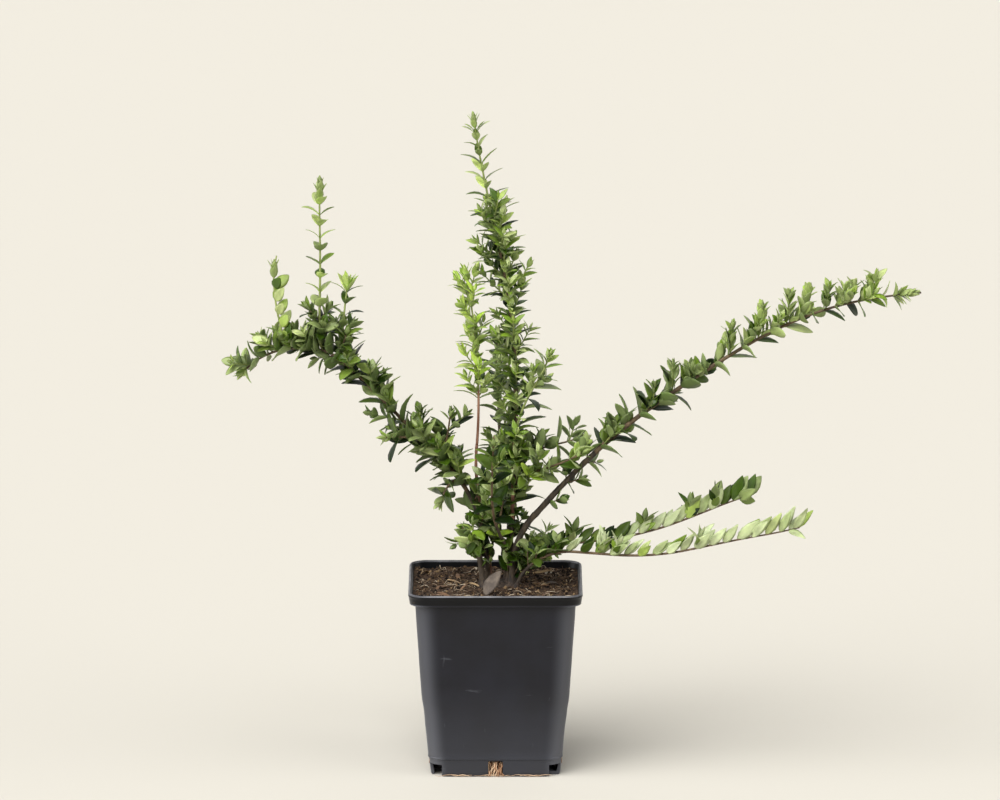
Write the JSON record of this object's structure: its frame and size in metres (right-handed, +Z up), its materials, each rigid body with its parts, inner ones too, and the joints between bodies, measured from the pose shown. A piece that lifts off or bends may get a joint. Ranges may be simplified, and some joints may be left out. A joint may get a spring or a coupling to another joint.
{
  "type": "potted box honeysuckle shrub",
  "caption": "Young leggy evergreen shrub with small paired leaves on upright, arching and low shoots, in a square tapered plastic nursery pot filled with peat.",
  "frame": {"origin": "middle of the pot's flat underside", "axes": "+Z up, +X to the right in the picture, along the long bough, -Y towards the viewer"},
  "size_m": [0.3628, 0.141, 0.3416],
  "materials": {
    "pot_plastic": "thin black nursery-pot plastic, satin",
    "soil": "fibrous peat compost",
    "bark": "dark brown young bark",
    "red_bark": "thin reddish bark",
    "foliage_deep": "dark glossy leaves",
    "foliage_mid": "mid-green glossy leaves",
    "foliage_fresh": "fresh green leaves",
    "foliage_lime": "lime green young leaves"
  },
  "bodies": {
    "root": {"pot": "pot_plastic", "soil": "soil", "root_collar": "bark", "cut_stub": "bark", "left_bough": "bark", "left_bough_leaves": "foliage_deep", "left_arch_leaves": "foliage_mid", "inner_stem": "red_bark", "inner_leaves": "foliage_lime", "centre_stem": "bark", "centre_low_leaves": "foliage_deep", "centre_mid_leaves": "foliage_mid", "centre_top_leaves": "foliage_fresh", "front_stem": "bark", "front_leaves": "foliage_fresh", "right_bough": "bark", "right_inner_leaves": "foliage_mid", "right_mid_leaves": "foliage_mid", "right_tip_leaves": "foliage_fresh", "low_back_stem": "bark", "low_back_leaves": "foliage_mid", "low_front_stem": "bark", "low_front_leaves": "foliage_fresh", "left_tall_leaves": "foliage_fresh", "left_second_leaves": "foliage_lime", "left_third_leaves": "foliage_lime", "left_hanging_leaves": "foliage_deep", "left_rising_leaves": "foliage_deep", "spray_low_leaves": "foliage_mid", "spray_high_leaves": "foliage_mid", "back_stem": "bark", "back_leaves": "foliage_mid", "back_low_stem": "bark", "back_low_leaves": "foliage_mid", "forward_stem": "bark", "forward_leaves": "foliage_mid", "base_left_leaves": "foliage_deep", "base_right_leaves": "foliage_deep", "low_mid_leaves": "foliage_deep", "low_left_leaves": "foliage_deep", "inner_low_leaves": "foliage_mid", "inner_side_leaves": "foliage_mid"}
  },
  "joints": []
}
